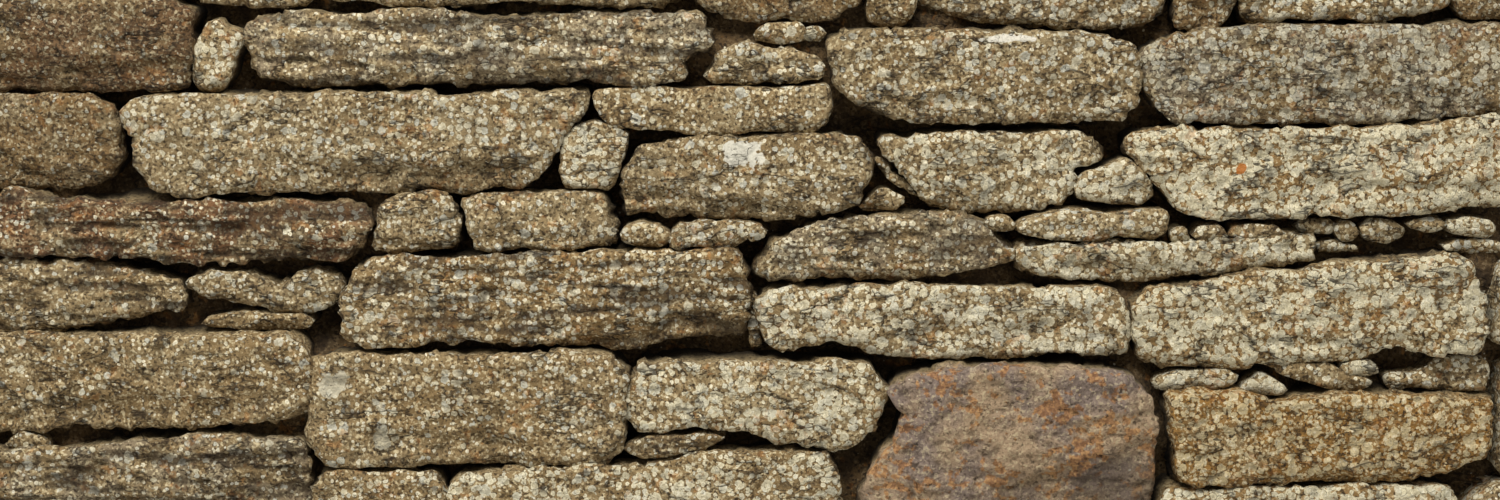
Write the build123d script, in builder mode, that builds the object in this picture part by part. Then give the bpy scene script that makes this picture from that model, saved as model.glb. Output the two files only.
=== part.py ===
"""A free-standing double dry stone wall, two metres long.

Two faces of roughly coursed stone lean in towards each other over a rubble core.
Footings carry them, through stones tie them, and slabs close the top.
Lengths are in millimetres. X runs along the wall, the front looks towards -Y,
and the ground is at height 0.
"""
import os
from collections import namedtuple

from build123d import *

# Overall sizes
wall_length = 2000
footing_width = 640
footing_height = 150
base_width = 560
top_width = 400
cover_height = 60
cope_height = 70
cope_overhang = 18

# Inside the wall
shortest_nose = 70
tail_depth = 60
end_joint = 4
centre_joint = 4
core_end_cover = 275
tall_tail_inset = 20
leaning_clearance = 0.3

# Long arrises of the slabs on top
slab_arris = 9

# Arris worn off the front of every stone
arris_depth = 13
arris_inset = 6
arris_limit = 0.3

# Heights of the courses, from the footings up
course_heights = {
    "j": 110,
    "i": 105,
    "h": 95,
    "g": 100,
    "f": 100,
    "e": 83,
    "d": 67,
    "c": 100,
    "b": 85,
    "a": 85,
}

# How far each bed rises above or drops below its level, as (along the wall, rise)
bed_rises = {
    "j": [(0, 0), (2000, 0)],
    "i": [(0, -2), (450, 4), (1000, -3), (1500, 4), (2000, 0)],
    "h": [(0, 2), (500, -4), (1100, 3), (1600, -3), (2000, 2)],
    "g": [(0, 0), (400, 5), (750, -3), (1150, 0), (1550, 4), (2000, -1)],
    "f": [
        (0, -1), (310, 2), (490, 8), (546, -2), (553, -33), (866, -29), (874, -23),
        (980, -11), (1138, -12), (1418, -52), (1750, -48), (2000, -49),
    ],
    "e": [
        (0, 4), (250, 4), (430, 9), (550, 7), (580, -7), (730, -7), (1010, -12),
        (1090, -7), (1150, -21), (1385, -17), (1388, -29), (1620, -27), (1650, -17),
        (2000, -13),
    ],
    "d": [
        (0, -2), (310, 0), (430, -7), (585, -4), (622, 3), (999, 12), (1003, -29),
        (1270, -20), (1350, -26), (1410, -22), (1580, -4), (1650, 4), (2000, 0),
    ],
    "c": [
        (0, 5), (250, 3), (370, -3), (850, -2), (862, -31), (1010, -29), (1210, -21),
        (1350, -17), (1420, -29), (1550, -27), (1750, -19), (2000, -19),
    ],
    "b": [
        (0, 1), (370, -2), (490, 4), (840, 4), (850, -18), (1085, -18), (1092, -36),
        (1390, -36), (1396, -31), (1600, -34), (1750, -24), (2000, -22),
    ],
    "a": [
        (0, 9), (438, 9), (442, 0), (956, -2), (966, -14), (1120, -20), (1390, -26),
        (1470, -26), (1500, -16), (2000, -12),
    ],
    "cover": [(0, 0), (2000, 0)],
}

# A stone's length, its outline, how far its right end leans over at the top,
# how far its face stands proud, and what kind it is.
# Outline points are measured from the left end and the bed it lies on, and
# negative ones from the right end and the bed above it.
# A face stone reaches in to the core, an end stone to the middle of the wall.
# A tie or a through stone lies right across the wall and shows on both faces.
# A tall stone stands two courses high, so the one above has a place with none.
# A hidden stone stays behind thin stones that fill its place on the face.
Stone = namedtuple("Stone", "length outline lean proud kind", defaults=(None, 0, 0, "face"))

# Outlines for plain stones, used in turn
plain_outlines = [
    [(5, 8), (-22, 5), (-5, 14), (-6, -16), (-26, -5), (12, -4)],
    [(9, 6), (-60, 4), (-4, 20), (-12, -7), (30, -5), (4, -26)],
    [(4, 20), (16, 5), (-8, 6), (-4, -22), (60, -4), (12, -8)],
    [(7, 7), (60, 4), (-24, 4), (-6, 18), (-7, -6), (14, -8)],
]

courses = {
    "j": [
        Stone(190, kind="end"),
        Stone(320),
        Stone(270, proud=6),
        Stone(240, proud=-4),
        Stone(350, proud=4),
        Stone(210),
        Stone(230, proud=-5),
        Stone(190, kind="end"),
    ],
    "i": [
        Stone(180, kind="tie"),
        Stone(300, proud=-4),
        Stone(220, proud=5),
        Stone(340),
        Stone(260, proud=-6),
        Stone(280, proud=6),
        Stone(240),
        Stone(180, kind="tie"),
    ],
    "h": [
        Stone(150, kind="end"),
        Stone(280, proud=5),
        Stone(250, kind="through", proud=16),
        Stone(310, proud=-4),
        Stone(290, proud=3),
        Stone(240, kind="through", proud=14),
        Stone(300, proud=-3),
        Stone(180, kind="end"),
    ],
    "g": [
        Stone(160, kind="tie"),
        Stone(392, [
            (5, 5), (200, 3), (-8, 5), (-3, 30), (-5, -24), (-12, -7), (-60, -11),
            (-75, -6), (200, -12), (165, -17), (90, -19), (8, -18), (2, -40),
        ], proud=-6),
        Stone(139, [(6, 8), (-8, 8), (-5, 30), (-8, -14), (-16, -6), (30, -3), (10, -8), (4, -20)]),
        Stone(411, [
            (6, 5), (200, 3), (-10, 5), (-12, 30), (-18, -20), (-28, -4), (260, -4),
            (200, -9), (60, -4), (18, -8), (5, -16),
        ], proud=4),
        Stone(316, [
            (14, 8), (150, 4), (-14, 6), (-8, 60), (-10, -60), (-17, -22), (-30, -8),
            (228, -10), (168, -5), (108, -8), (53, -20), (42, -30), (60, 130), (48, 102),
            (28, 80), (12, 40),
        ], proud=10, kind="tall"),
        Stone(312, proud=-4),
        Stone(270, kind="end"),
    ],
    "f": [
        Stone(110, kind="end"),
        Stone(440, [
            (5, 6), (160, 5), (200, 11), (285, 3), (345, 5), (-28, 14), (-4, 34),
            (-1, -40), (-6, -16), (-18, -5), (200, -3), (60, -4), (3, -22),
        ]),
        Stone(322, [
            (4, 28), (20, 8), (40, 3), (120, 8), (200, 6), (-22, 6), (-5, 18), (-2, 40),
            (-3, -22), (-18, -7), (-150, -12), (76, -10), (26, -10), (4, -28), (1, -55),
        ], proud=8),
        Stone(248, [
            (6, 42), (14, 34), (30, 28), (80, 27), (122, 24), (158, 8), (210, 3), (-22, 5),
            (-2, 20), (-1, -34), (-20, -12), (60, -13), (18, -16), (14, -30), (3, -42),
        ], lean=24, proud=5),
        Stone(298, kind="none"),
        Stone(342, [
            (26, 3), (90, 3), (130, 6), (240, 6), (-44, 14), (-8, 30), (-6, -46), (-70, -42),
            (212, -31), (120, -38), (84, -28), (30, -27), (11, -28), (14, 60),
        ], proud=6),
        Stone(240, kind="tie"),
    ],
    "e": [
        Stone(170, kind="tie"),
        Stone(252, [
            (5, 3), (100, 3), (140, 5), (180, 14), (-20, 18), (-2, 24), (-4, -18),
            (-24, -14), (-80, -6), (100, -6), (30, -8), (3, -25),
        ], proud=-8),
        Stone(164, [
            (8, 42), (24, 35), (50, 33), (75, 27), (98, 25), (120, 20), (-22, 32), (-5, 50),
            (-3, -24), (-16, -16), (-34, -14), (100, -30), (86, -26), (62, -12), (28, -8),
            (5, -16),
        ], proud=-10),
        Stone(416, [
            (4, 10), (24, 4), (64, 4), (150, 9), (200, 7), (264, 3), (296, 3), (-98, 6),
            (-60, 12), (-7, 18), (-7, 40), (-10, -25), (-18, -8), (-130, -4), (60, -3),
            (34, -4), (12, -12), (4, -30),
        ], proud=6),
        Stone(384, [
            (18, 12), (34, 3), (50, 5), (78, 9), (110, 10), (148, 6), (180, 4), (250, 4),
            (-60, 5), (-6, 6), (-2, 18), (-8, -34), (-14, -13), (-36, -6), (100, -5),
            (46, -5), (18, -8), (10, -15), (12, 28),
        ], proud=4),
        Stone(364, [
            (16, 12), (36, 3), (94, 2), (160, 3), (240, 6), (270, 13), (-60, 3), (-15, 9),
            (-6, 22), (-8, -40), (-24, -10), (-50, -4), (-100, -6), (190, -8), (90, -8),
            (64, -12), (20, -14), (8, -22), (6, 34),
        ], proud=8),
        Stone(250, kind="end"),
    ],
    "d": [
        Stone(210, kind="end"),
        Stone(406, [
            (5, 3), (100, 5), (180, 5), (220, 2), (-110, 4), (-26, 6), (-6, 22), (-4, -24),
            (-8, -12), (-160, -9), (120, -5), (40, -4), (3, -15),
        ], proud=3),
        Stone(93, [(3, 6), (14, 3), (-14, 3), (-5, 8), (-6, 34), (-18, -5), (30, -3), (15, -11)]),
        Stone(155, [
            (12, 4), (60, 6), (98, 2), (-4, 4), (-4, 25), (-8, -10), (-14, -3), (10, -4),
            (3, -10), (6, 25),
        ]),
        Stone(136, [
            (58, 4), (-24, 2), (-6, 10), (-3, -14), (-12, -5), (-50, -3), (64, -3),
        ], lean=25),
        Stone(270, [
            (4, 12), (22, 6), (60, 4), (150, 4), (-60, 10), (-3, 20), (-5, -38), (-20, -25),
            (-40, -13), (-66, -3), (-90, -2), (100, -3), (45, -8), (12, -24), (1, -40),
        ], proud=3),
        Stone(310, [
            (4, 12), (20, 5), (60, 3), (130, 3), (-90, 3), (-8, 4), (-7, -19), (-40, -19),
            (180, -26), (80, -37), (5, -37),
        ]),
        Stone(230, kind="hidden"),
        Stone(190, kind="tie"),
    ],
    "c": [
        Stone(140, kind="tie"),
        Stone(228, [
            (5, 4), (-52, 4), (-20, 18), (-11, 34), (-10, -30), (-16, -14), (-50, -4),
            (30, -4), (3, -20),
        ], proud=-6),
        Stone(494, [
            (26, 5), (280, 4), (312, 9), (337, 3), (-92, 8), (-67, 31), (-52, 61),
            (-30, -20), (-28, -5), (-170, -12), (-190, -6), (60, -5), (14, -6), (5, -14),
            (4, -30), (12, -45), (14, 25),
        ], proud=4),
        Stone(264, [
            (12, 8), (90, 5), (140, 3), (190, 5), (-22, 14), (-7, 38), (-6, -30),
            (-14, -14), (-76, -27), (90, -30), (32, -38), (15, -52), (8, 35),
        ], proud=3),
        Stone(246, [
            (60, 6), (84, 3), (136, 3), (-57, 7), (-50, 19), (-44, 42), (-22, 46),
            (-14, -30), (-20, -16), (-38, -5), (90, -7), (9, -9), (8, -20), (32, 40),
        ]),
        Stone(438, [
            (64, 12), (86, 3), (120, 3), (230, 4), (330, 4), (-40, 10), (-10, 40),
            (-4, -14), (-60, -4), (220, -6), (84, -7), (68, -4), (14, -8), (10, -24),
            (34, -46), (44, 36),
        ], proud=8),
        Stone(190, kind="end"),
    ],
    "b": [
        Stone(125, kind="end"),
        Stone(315, [
            (5, 8), (40, 3), (-14, 4), (-6, 40), (-3, -12), (-30, -3), (30, -5), (3, -25),
        ], proud=5),
        Stone(494, [
            (70, 9), (155, 3), (320, 8), (395, 8), (-84, 28), (-17, 35), (-28, 51),
            (-22, 58), (-1, -26), (-19, -10), (-79, -5), (200, -6), (60, -9), (52, -24),
            (58, 26),
        ], lean=40, proud=4),
        Stone(142, [
            (4, 35), (14, 30), (70, 31), (100, 31), (-5, 33), (-6, -38), (-26, -27),
            (-60, -26), (-80, -20), (10, -36),
        ]),
        Stone(318, [
            (12, 34), (36, 28), (60, 15), (115, 9), (-20, 10), (-5, 26), (-3, -40),
            (-10, -17), (-34, -4), (20, -3), (5, -12),
        ], proud=10),
        Stone(416, [
            (16, 16), (36, 5), (106, 4), (200, 5), (-10, 8), (-3, 40), (-6, -12),
            (-60, -5), (250, -5), (110, -5), (32, -5), (6, -20), (2, 50),
        ], proud=8),
        Stone(190, kind="tie"),
    ],
    "a": [
        Stone(190, kind="tie"),
        Stone(250, proud=4),
        Stone(132, proud=-3),
        Stone(360, proud=3),
        Stone(186, [
            (8, 26), (30, 10), (60, 3), (150, 8), (-8, 24), (-3, -30), (-8, -5), (10, -5),
            (5, 40),
        ]),
        Stone(48, [(3, 8), (14, 2), (30, 2), (-3, 20), (-2, -8), (4, -5)], proud=6),
        Stone(262, [
            (6, 24), (80, 10), (150, 6), (220, 8), (-10, 22), (-4, -40), (-12, -5), (8, -5),
        ], proud=-6),
        Stone(62, [
            (4, 10), (14, 3), (40, 4), (-4, 20), (-3, -30), (-8, -5), (10, -5), (3, -30),
        ], proud=8),
        Stone(218, proud=4),
        Stone(142),
        Stone(150, kind="end"),
    ],
}

# Every course is set out to this length, then stretched to the wall's own
drawn_length = sum(stone.length for stone in courses["a"])

# Slabs and footings lie right across the wall, as lengths from the left end
footing_lengths = [300, 260, 310, 280, 300, 270, 280]
cover_lengths = [340, 300, 360, 320, 360, 320]
cope_lengths = [260, 340, 300, 380, 320, 400]

# Thin stones that level up a bed or fill a joint from the face.
# Each has its left end, the course whose bed it is set out from, how far its foot
# is above that bed, its outline from that left end and foot, and how far it stands proud.
Filler = namedtuple("Filler", "left course foot outline proud", defaults=(0,))

levellers = [
    Filler(843, "b", -25, [
        (4, 28), (17, 11), (57, 8), (87, 4), (107, 0), (167, 6), (222, 5), (232, 13),
        (236, 26), (233, 50), (157, 46), (107, 46), (47, 48), (17, 46), (1, 43),
    ], 3),
    Filler(808, "c", 2, [
        (7, 5), (27, 5), (48, 0), (53, 10), (59, 30), (65, 58), (55, 63), (34, 70),
        (17, 65), (5, 58), (4, 45), (2, 23),
    ], -3),
    Filler(1272, "d", 42, [
        (2, 11), (28, 6), (58, 2), (83, 0), (98, 6), (138, 3), (148, 10), (149, 31),
        (128, 32), (88, 27), (68, 31), (48, 30), (18, 25), (2, 18),
    ], 4),
    Filler(440, "e", 1, [
        (2, 6), (20, 5), (48, 3), (92, 0), (108, 3), (113, 9), (104, 15), (70, 14),
        (44, 18), (26, 15), (4, 10),
    ], -6),
    Filler(871, "f", -2, [
        (4, 6), (18, 1), (44, 0), (64, 4), (82, 9), (106, 20), (96, 22), (40, 23),
        (14, 18), (0, 10),
    ], 4),
    Filler(1650, "e", -38, [
        (3, 3), (50, 0), (98, 1), (104, 14), (102, 30), (84, 34), (56, 32), (36, 20),
        (4, 14),
    ], -12),
    Filler(1536, "e", -26, [
        (24, 13), (50, 6), (76, 1), (92, 3), (99, 9), (80, 14), (62, 21), (56, 26),
        (14, 26), (2, 22),
    ], -4),
    Filler(1414, "e", -23, [
        (1, 2), (26, 1), (60, 0), (76, 4), (81, 14), (72, 18), (36, 18), (16, 16), (1, 10),
    ], -4),
]

pins = [
    Filler(438, "b", -3, [
        (3, 2), (1, 30), (7, 50), (17, 70), (27, 73), (34, 65), (48, 60), (47, 50),
        (39, 35), (36, 20), (27, 3), (12, 0),
    ], 4),
    Filler(1005, "a", -19, [(3, 4), (20, 0), (48, 4), (47, 18), (35, 20), (13, 17), (0, 10)]),
    Filler(1056, "a", -15, [(2, 2), (14, 0), (19, 6), (14, 12), (2, 10)], -8),
    Filler(1330, "c", 7, [
        (1, 18), (4, 26), (11, 32), (32, 37), (50, 45), (66, 38), (75, 23), (77, 8),
        (65, 0), (30, 4), (5, 6),
    ], 2),
    Filler(1127, "c", 19, [(41, 0), (36, 8), (24, 20), (10, 32), (1, 36), (8, 26), (22, 12)], -10),
    Filler(1112, "c", 4, [
        (13, 0), (36, 2), (43, 8), (41, 14), (28, 21), (18, 20), (8, 13), (0, 3),
    ], -10),
    Filler(870, "d", 2, [
        (6, 5), (12, 3), (35, 0), (46, 6), (48, 13), (33, 20), (20, 23), (3, 17), (1, 12),
    ]),
    Filler(1238, "d", 47, [(2, 6), (8, 2), (22, 0), (30, 3), (26, 12), (14, 16), (4, 14)]),
    Filler(1428, "d", 34, [(3, 2), (14, 0), (18, 6), (12, 14), (2, 12)], -4),
    Filler(1450, "d", 33, [(2, 4), (14, 0), (30, 1), (33, 8), (26, 14), (6, 13)]),
    Filler(1486, "d", 32, [(1, 3), (20, 0), (50, 1), (54, 5), (46, 11), (20, 12), (4, 10)]),
    Filler(1558, "d", 28, [(12, 0), (34, 1), (37, 8), (34, 12), (4, 12), (1, 7)], -12),
    Filler(1597, "d", 17, [(6, 0), (16, 1), (21, 8), (16, 18), (4, 20), (1, 10)], -8),
    Filler(1621, "d", 11, [(8, 4), (28, 0), (42, 6), (44, 14), (30, 22), (8, 24), (2, 14)], -6),
    Filler(1667, "d", 23, [(2, 6), (20, 0), (36, 3), (38, 10), (26, 15), (4, 12)], -4),
    Filler(1708, "d", 16, [(4, 8), (24, 2), (44, 0), (48, 8), (46, 16), (20, 19), (3, 17)], -6),
    Filler(1580, "d", 4, [(4, 3), (24, 0), (42, 3), (34, 9), (12, 11), (2, 8)], -16),
    Filler(1705, "d", 1, [(4, 4), (30, 0), (60, 2), (62, 8), (48, 11), (14, 10)], -14),
    Filler(997, "e", 1, [(6, 0), (12, 4), (13, 30), (7, 55), (2, 50), (3, 20)], -16),
    Filler(1499, "e", -28, [(3, 5), (20, 1), (42, 0), (48, 4), (30, 16), (22, 19), (8, 10)], -6),
    Filler(1602, "e", -12, [(4, 6), (20, 0), (36, 3), (33, 14), (18, 16), (2, 12)], -2),
    Filler(242, "f", -17, [(2, 1), (30, 0), (38, 6), (30, 14), (10, 17), (1, 12)], -8),
]


def course_level(name):
    """Height of a course's bed before its rises."""
    level = footing_height
    for course, height in course_heights.items():
        if course == name:
            return level
        level += height
    return level


def bed_height(name, along):
    """Height of a course's bed at a distance along the wall."""
    level = course_level(name)
    rises = bed_rises[name]
    for (start, rise), (end, next_rise) in zip(rises, rises[1:]):
        if along <= end:
            return level + rise + (next_rise - rise) * (along - start) / (end - start)
    return level + rises[-1][1]


def bed_run(name, start, end):
    """Points of a course's bed from one distance along the wall to another."""
    turns = [along for along, rise in bed_rises[name] if start < along < end]
    return [(along, bed_height(name, along)) for along in [start, *turns, end]]


course_names = [*course_heights, "cover"]


def course_above(name, steps=1):
    """Name of the course whose bed closes this one, or one further up."""
    return course_names[course_names.index(name) + steps]


def face_depth(height):
    """Distance from the middle of the wall to its battered face at a height."""
    top = course_level("cover")
    share = (height - footing_height) / (top - footing_height)
    return (base_width + (top_width - base_width) * share) / 2


def along_wall(along):
    """Where a distance along the drawn courses falls on the wall, from its middle."""
    return (along - drawn_length / 2) * wall_length / drawn_length


def placed(points):
    """Points of the drawn face set out along the wall."""
    return [(along_wall(along), height) for along, height in points]


tail_face = top_width / 2 - shortest_nose
core_face = tail_face - tail_depth


def face_outline(stone, name, start, left_lean, top_name):
    """The stone's outline on the face, from its own ends and its two beds."""
    points = []
    course_height = course_level(top_name) - course_level(name)
    for across, up in stone.outline:
        share = up / course_height if up >= 0 else 1 + up / course_height
        if across >= 0:
            along = start + left_lean * share + across
        else:
            along = start + stone.length + stone.lean * share + across
        height = bed_height(name, along) + up if up >= 0 else bed_height(top_name, along) + up
        points.append((along, height))
    return placed(points)


def drawn_in(outline):
    """An outline drawn in from its ends and its beds, by less on a thin stone."""
    alongs = [along for along, height in outline]
    heights = [height for along, height in outline]
    middle, half_length = (max(alongs) + min(alongs)) / 2, (max(alongs) - min(alongs)) / 2
    waist, half_height = (max(heights) + min(heights)) / 2, (max(heights) - min(heights)) / 2
    length_share = 1 - min(arris_inset / half_length, arris_limit)
    height_share = 1 - min(arris_inset / half_height, arris_limit)
    return [
        (middle + (along - middle) * length_share, waist + (height - waist) * height_share)
        for along, height in outline
    ]


def make_nose(outline, tail, face, worn=True):
    """A stone's outline carried out from its tail to the face, where its arris may be worn."""
    shoulder = face - arris_depth if worn else face
    with BuildPart() as nose:
        with BuildSketch(Plane.XZ.offset(tail)):
            with BuildLine():
                Polyline(*outline, close=True)
            make_face()
        extrude(amount=shoulder - tail)
        if worn:
            for depth, edge in ((shoulder, outline), (face, drawn_in(outline))):
                with BuildSketch(Plane.XZ.offset(depth)):
                    with BuildLine():
                        Polyline(*edge, close=True)
                    make_face()
            loft(ruled=True)
    return nose.part


def make_stone(stone, name, start, left_lean):
    """One stone: its tail block between the beds, and its nose out to the face."""
    top_name = course_above(name, 2 if stone.kind == "tall" else 1)
    end = start + stone.length
    block_start = start if start == 0 else start + end_joint / 2
    if stone.kind == "tall":
        block_start += tall_tail_inset
    block_end = end if end == drawn_length else end - end_joint / 2
    block = bed_run(name, block_start, block_end)
    block += reversed(bed_run(top_name, block_start, block_end))
    inner = {"face": core_face, "tall": core_face, "hidden": core_face, "end": centre_joint / 2}
    inner_face = inner.get(stone.kind, 0)
    face = face_depth(course_level(name)) + stone.proud
    # The stone on its left leans in front of this tail without touching it
    tail = tail_face - leaning_clearance if left_lean else tail_face
    with BuildPart() as piece:
        with BuildSketch(Plane.XZ.offset(inner_face)):
            with BuildLine():
                Polyline(*placed(block), close=True)
            make_face()
        extrude(amount=tail - inner_face)
        if stone.kind != "hidden":
            add(make_nose(face_outline(stone, name, start, left_lean, top_name), tail, face))
        if stone.kind in ("tie", "through"):
            mirror(about=Plane.XZ)
    return piece.part


def course_stones(name):
    """All the stones of one course on the front, with their kinds."""
    made = []
    start = 0
    left_lean = 0
    for number, stone in enumerate(courses[name]):
        if stone is courses[name][-1]:
            stone = stone._replace(length=drawn_length - start)
        if stone.outline is None:
            turn = (number + course_names.index(name)) % len(plain_outlines)
            stone = stone._replace(outline=plain_outlines[turn])
        if stone.kind != "none":
            made.append((stone.kind, make_stone(stone, name, start, left_lean)))
        start += stone.length
        left_lean = stone.lean
    return made


def make_filler(filler, worn):
    """A thin stone, in from the face until it meets the tails behind it."""
    middle = filler.left + max(across for across, up in filler.outline) / 2
    foot = bed_height(filler.course, middle) + filler.foot
    outline = placed([(filler.left + across, foot + up) for across, up in filler.outline])
    return make_nose(outline, tail_face, face_depth(foot) + filler.proud, worn)


def make_slab(start, length, bottom, top, half_width):
    """A slab across the wall, with its long arrises knocked off."""
    end = start + length
    left = along_wall(start if start == 0 else start + end_joint / 2)
    right = along_wall(end if end == drawn_length else end - end_joint / 2)
    with BuildPart() as slab:
        with BuildSketch(Plane.XY.offset(bottom)):
            with Locations(((left + right) / 2, 0)):
                Rectangle(right - left, 2 * half_width)
        extrude(amount=top - bottom)
        chamfer(slab.edges().filter_by(Axis.Y, reverse=True).group_by(Axis.Z)[-1], slab_arris)
    return slab.part


def slab_row(lengths, bottom, top, half_width):
    """Slabs laid end to end, the last one closing the row."""
    made = []
    start = 0
    for number, length in enumerate(lengths):
        if number == len(lengths) - 1:
            length = drawn_length - start
        made.append(make_slab(start, length, bottom, top, half_width))
        start += length
    return made


os.makedirs("parts", exist_ok=True)

footing_top = footing_height
cover_bottom = course_level("cover")
cope_bottom = cover_bottom + cover_height
cope_top = cope_bottom + cope_height

with BuildPart() as footings:
    add(slab_row(footing_lengths, 0, footing_top, footing_width / 2))
footings.part.label = "footings"
export_step(footings.part, "parts/footings.step")

with BuildPart() as cover_slabs:
    add(slab_row(cover_lengths, cover_bottom, cope_bottom, top_width / 2))
cover_slabs.part.label = "cover_slabs"
export_step(cover_slabs.part, "parts/cover_slabs.step")

with BuildPart() as cope_slabs:
    add(slab_row(cope_lengths, cope_bottom, cope_top, top_width / 2 + cope_overhang))
cope_slabs.part.label = "cope_slabs"
export_step(cope_slabs.part, "parts/cope_slabs.step")

# Pins are freshly split, so only the levelling stones have a worn arris
for node_name, fillers, worn in (("levellers", levellers, True), ("pins", pins, False)):
    with BuildPart() as front_fillers:
        add([make_filler(filler, worn) for filler in fillers])
    front_fillers.part.label = "front_" + node_name
    export_step(front_fillers.part, "parts/front_" + node_name + ".step")
    with BuildPart() as back_fillers:
        mirror(front_fillers.part, about=Plane.XZ)
    back_fillers.part.label = "back_" + node_name
    export_step(back_fillers.part, "parts/back_" + node_name + ".step")

across_stones = []
for letter in courses:
    front_stones = []
    for kind, stone_part in course_stones(letter):
        if kind in ("tie", "through"):
            across_stones.append(stone_part)
        else:
            front_stones.append(stone_part)
    with BuildPart() as front_course:
        add(front_stones)
    front_course.part.label = "front_course_" + letter
    export_step(front_course.part, "parts/front_course_" + letter + ".step")
    with BuildPart() as back_course:
        mirror(front_course.part, about=Plane.XZ)
    back_course.part.label = "back_course_" + letter
    export_step(back_course.part, "parts/back_course_" + letter + ".step")

with BuildPart() as through_stones:
    add(across_stones)
through_stones.part.label = "through_stones"
export_step(through_stones.part, "parts/through_stones.step")

with BuildPart() as core:
    with BuildSketch(Plane.XY.offset(footing_top)):
        Rectangle(2 * along_wall(drawn_length - core_end_cover), 2 * core_face)
    extrude(amount=cover_bottom - footing_top)
    add(through_stones.part, mode=Mode.SUBTRACT)
core.part.label = "core"
export_step(core.part, "parts/core.step")
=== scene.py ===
"""Looks of a free-standing double dry stone wall of roughly coursed, lichened stone."""

import math

import bmesh
import bpy
import numpy as np
from mathutils import Euler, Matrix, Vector, noise
from mathutils.geometry import delaunay_2d_cdt


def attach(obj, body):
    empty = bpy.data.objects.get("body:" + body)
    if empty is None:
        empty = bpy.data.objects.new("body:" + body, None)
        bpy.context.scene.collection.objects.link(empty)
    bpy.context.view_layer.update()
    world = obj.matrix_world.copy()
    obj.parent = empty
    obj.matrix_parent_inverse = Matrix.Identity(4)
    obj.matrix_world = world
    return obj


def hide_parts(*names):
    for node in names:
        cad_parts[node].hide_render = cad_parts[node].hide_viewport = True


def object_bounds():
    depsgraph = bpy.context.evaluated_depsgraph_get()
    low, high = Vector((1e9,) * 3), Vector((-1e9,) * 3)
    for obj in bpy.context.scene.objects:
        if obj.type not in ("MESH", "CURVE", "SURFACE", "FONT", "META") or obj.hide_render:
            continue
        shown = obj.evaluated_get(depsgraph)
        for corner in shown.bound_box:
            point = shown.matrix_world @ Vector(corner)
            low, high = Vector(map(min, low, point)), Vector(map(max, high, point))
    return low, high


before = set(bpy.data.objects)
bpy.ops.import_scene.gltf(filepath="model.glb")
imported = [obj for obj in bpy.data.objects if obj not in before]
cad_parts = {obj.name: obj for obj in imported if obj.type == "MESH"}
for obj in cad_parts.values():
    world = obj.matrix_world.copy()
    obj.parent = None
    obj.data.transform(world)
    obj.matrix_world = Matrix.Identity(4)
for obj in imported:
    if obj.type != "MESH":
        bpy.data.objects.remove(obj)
cad_low, cad_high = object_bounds()


# Walling stones
# Flat-bedded sandstone laid dry in rough courses on both faces of the wall.
# Each is split, not cut: a rugged face, arrises broken by frost, and a hidden tail.

# Where a stone's hidden tail begins, and how far its nose reaches into it
tail_face = 0.130
tail_overlap = 0.003
# How far a stone's foot and head bulge past its CAD outline, and the depth it is read at
foot_fullness = 0.0030
head_fullness = 0.0004
arris_depth = 0.013
# Room left at the wall's ends for the relief
wall_end_reach = 0.004
same_place = 0.0002
same_end = 0.0005
merge_distance = 0.00002

# Waves along a stone's outline: their sizes and their height
broad_wave = 0.035
fine_wave = 0.010
wave_height = 0.0026
# Wear of an arris: its usual depth and how much it varies
arris_wear = 0.0024
arris_wear_range = 0.002
# A face's tilt along and up the wall, its broken corners as a share of the stone's height
# with their slopes, and the depth of its ledges
face_tilt = (0.03, 0.07)
corner_share = (0.05, 0.16)
corner_slope = (0.2, 0.7)
ledge_drop = (0.002, 0.005)
# The rings of points behind a face stand further apart one by one
ring_growth = 1.38
# Where in front of the tail the relief begins, and the length over which it grows
relief_start = 0.02
relief_ramp = 0.03
# Lichen on the photograph's left, how much more grows on its right, and how stones vary
lichen_left = 0.41
lichen_gain = 0.22
lichen_range = 0.05
half_view = 0.75
# Grains and the clouds of tone in them, the face's depth past which patches show, and
# the height that 1 stands for in the bump
sand_size = 0.0026
sand_cloud = 0.0042
patch_front = -0.19
bump_height = 0.0016
# Voxels of the stones at the wall's ends
end_voxel = 0.008
# What a hidden tail gives as its depth behind the face, so that the painted shade of deep joints
# makes it dark
tail_depth = 0.1

finish_names = ("lichen", "pale", "warm", "red", "bedding", "rust", "blue", "dark")
# How much of each finish a stone shows
finishes = {
    "plain": {"dark": 0.12},
    "brown": {"warm": 0.35, "red": 0.1, "dark": 0.62, "lichen": -0.12},
    "dark_red": {"red": 0.5, "dark": 0.66, "lichen": -0.12},
    "bedded_red": {"red": 0.75, "bedding": 0.8, "lichen": -0.02},
    "bedded": {"bedding": 0.6},
    "bedded_ochre": {"warm": 0.25, "bedding": 0.45, "lichen": 0.10},
    "bedded_grey": {"bedding": 0.5, "blue": 0.2, "lichen": 0.05},
    "dusky": {"dark": 0.35, "lichen": 0.05},
    "pale": {"pale": 0.5, "lichen": 0.18},
    "pale_yellow": {"pale": 0.85, "warm": 0.45, "lichen": 0.20},
    "ochre": {"pale": 0.5, "warm": 1.0, "dark": 0.12, "lichen": 0.08},
    "blue_grey": {"blue": 0.25, "warm": 0.2, "dark": 0.6, "lichen": 0.06},
    "purple": {"rust": 1.0, "dark": 0.26, "lichen": -0.6},
}
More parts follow.
